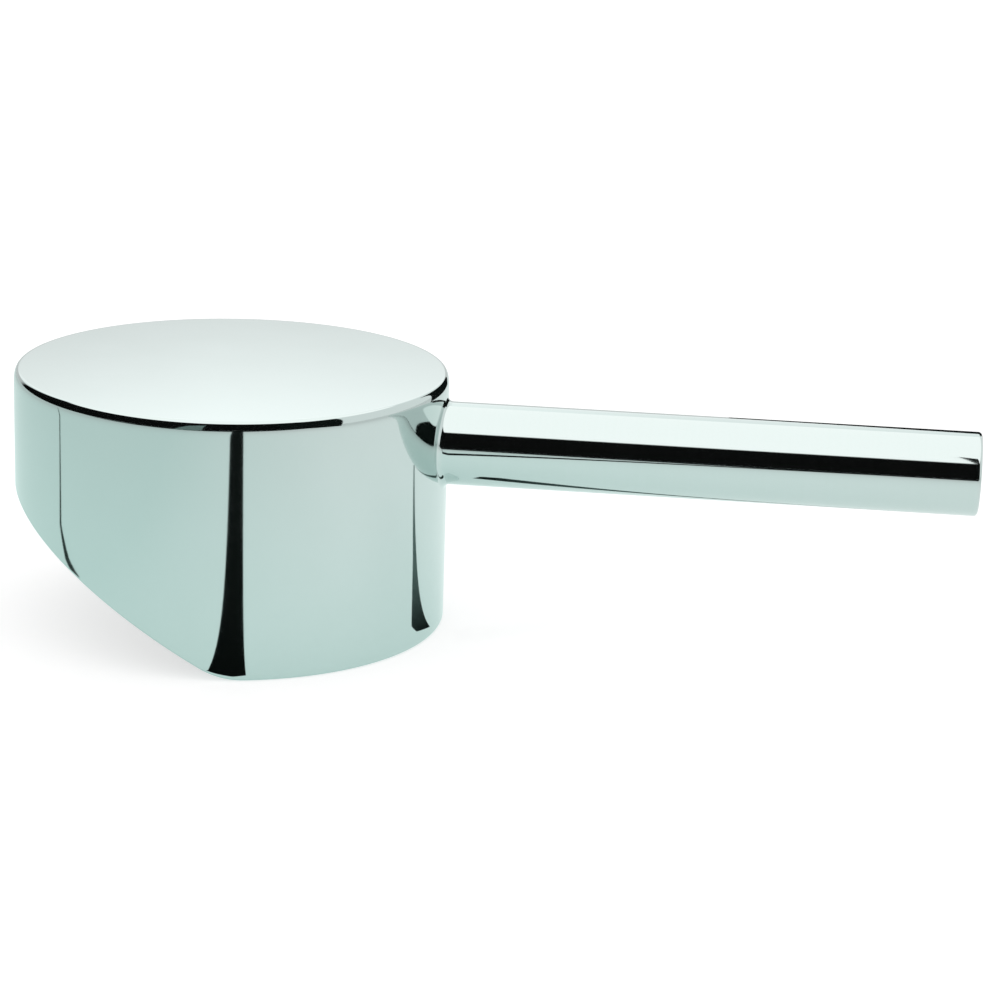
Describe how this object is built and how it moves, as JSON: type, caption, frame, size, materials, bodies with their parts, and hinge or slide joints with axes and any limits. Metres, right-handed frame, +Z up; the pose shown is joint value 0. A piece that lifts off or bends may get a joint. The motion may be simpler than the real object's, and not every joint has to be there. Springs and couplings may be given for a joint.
{
  "type": "tap handle",
  "caption": "Chromed single-lever tap handle: a round flat-topped cap, cut away at a slant under its rear, with a plain round lever rod and a square stem socket inside.",
  "frame": {"origin": "centre of the stem socket's mouth, on the cap's axis", "axes": "+Z up along the cap's axis, towards its flat top; +X along the lever, away from the cap; the flat of the base lies below the origin and is level"},
  "size_m": [0.1043, 0.047, 0.0278],
  "materials": {
    "body_chrome": "polished bright chromium plate outside, satin as-cast plate inside",
    "lever_chrome": "polished bright chromium plate",
    "screw_steel": "plain stainless steel"
  },
  "bodies": {
    "root": {"handle_body": "body_chrome", "lever_rod": "lever_chrome", "grub_screw": "screw_steel"}
  },
  "joints": []
}
